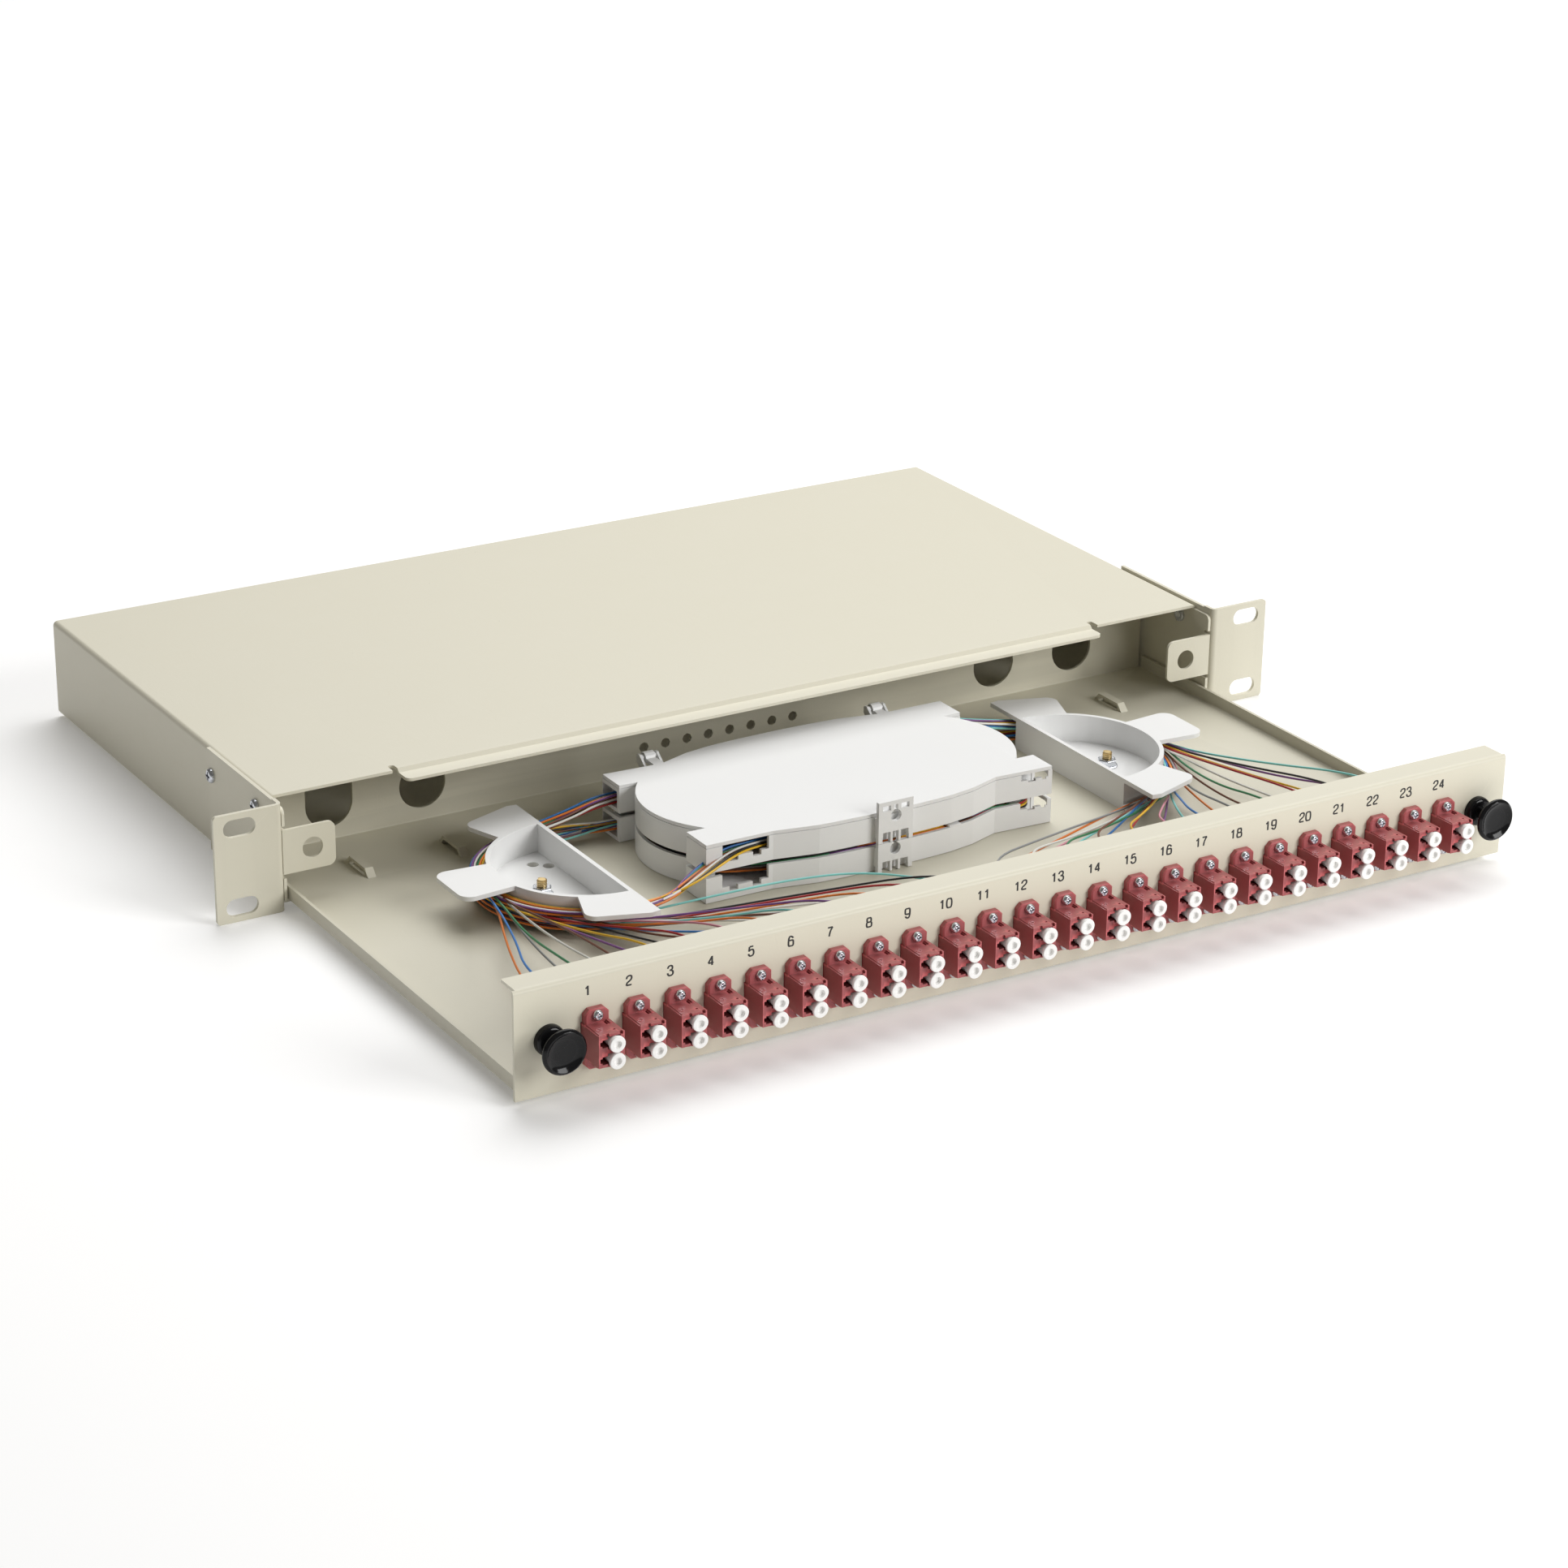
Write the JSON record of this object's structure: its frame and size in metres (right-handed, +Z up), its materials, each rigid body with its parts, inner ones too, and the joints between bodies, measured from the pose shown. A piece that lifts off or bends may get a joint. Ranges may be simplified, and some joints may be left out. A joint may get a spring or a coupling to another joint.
{
  "type": "fibre splice box",
  "caption": "Rack-mount fibre splice box: sheet-steel cover with slotted ears, and a pull-out drawer with duplex adapters, stacked splice cassettes and fibre guides.",
  "frame": {"origin": "centre of the four rack slots, on the rear face of the ears, which seats on the rack rails", "axes": "+X to the right seen from the front, +Y into the rack, +Z up"},
  "size_m": [0.4826, 0.4302, 0.0435],
  "materials": {
    "cover_paint": "smooth satin powder coat, pebble grey",
    "drawer_paint": "smooth satin powder coat, pebble grey",
    "adapter_plastic": "moulded rose violet plastic",
    "white_plastic": "moulded white plastic",
    "plug_plastic": "moulded white plastic",
    "latch_plastic": "moulded black plastic",
    "screw_steel": "zinc-plated steel",
    "stud_brass": "turned brass",
    "protector_plastic": "clear shrink sleeve",
    "fibre_jacket": "coloured fibre coating"
  },
  "bodies": {
    "housing": {"housing_cover": "cover_paint", "right_ear_bracket": "cover_paint", "left_ear_bracket": "cover_paint", "ear_screws": "screw_steel", "ear_clinch_nuts": "screw_steel"},
    "drawer": {"drawer_tray": "drawer_paint", "front_panel": "drawer_paint", "adapter_01": "adapter_plastic", "adapter_02": "adapter_plastic", "adapter_03": "adapter_plastic", "adapter_04": "adapter_plastic", "adapter_05": "adapter_plastic", "adapter_06": "adapter_plastic", "adapter_07": "adapter_plastic", "adapter_08": "adapter_plastic", "adapter_09": "adapter_plastic", "adapter_10": "adapter_plastic", "adapter_11": "adapter_plastic", "adapter_12": "adapter_plastic", "adapter_13": "adapter_plastic", "adapter_14": "adapter_plastic", "adapter_15": "adapter_plastic", "adapter_16": "adapter_plastic", "adapter_17": "adapter_plastic", "adapter_18": "adapter_plastic", "adapter_19": "adapter_plastic", "adapter_20": "adapter_plastic", "adapter_21": "adapter_plastic", "adapter_22": "adapter_plastic", "adapter_23": "adapter_plastic", "adapter_24": "adapter_plastic", "dust_caps": "white_plastic", "pigtail_plugs": "plug_plastic", "right_latch_grommet": "latch_plastic", "left_latch_grommet": "latch_plastic", "right_fibre_guide": "white_plastic", "left_fibre_guide": "white_plastic", "guide_studs": "stud_brass", "guide_nuts": "screw_steel", "lower_cassette": "white_plastic", "lower_splice_protectors": "protector_plastic", "fibre_bundle_left": "fibre_jacket", "fibre_bundle_right": "fibre_jacket"},
    "left_latch": {"left_latch_plunger": "latch_plastic"},
    "right_latch": {"right_latch_plunger": "latch_plastic"},
    "upper_cassette": {"upper_cassette": "white_plastic", "upper_splice_protectors": "protector_plastic"},
    "cassette_lid": {"cassette_lid": "white_plastic"}
  },
  "joints": [
    {"name": "drawer_slide", "type": "slide", "parent": "housing", "child": "drawer", "axis": [0, 1, 0], "range_m": [-0.0325, 0.1851]},
    {"name": "left_latch_slide", "type": "slide", "parent": "drawer", "child": "left_latch", "axis": [0, 1, 0], "range_m": [0, 0.003]},
    {"name": "right_latch_slide", "type": "slide", "parent": "drawer", "child": "right_latch", "axis": [0, 1, 0], "range_m": [0, 0.003]},
    {"name": "upper_cassette_hinge", "type": "hinge", "parent": "drawer", "child": "upper_cassette", "pos_m": [0, 0.0071, -0.0062], "axis": [1, 0, 0], "range_deg": [-45, 0]},
    {"name": "cassette_lid_hinge", "type": "hinge", "parent": "upper_cassette", "child": "cassette_lid", "pos_m": [0, 0.0071, 0.0058], "axis": [1, 0, 0], "range_deg": [-60, 0]}
  ]
}
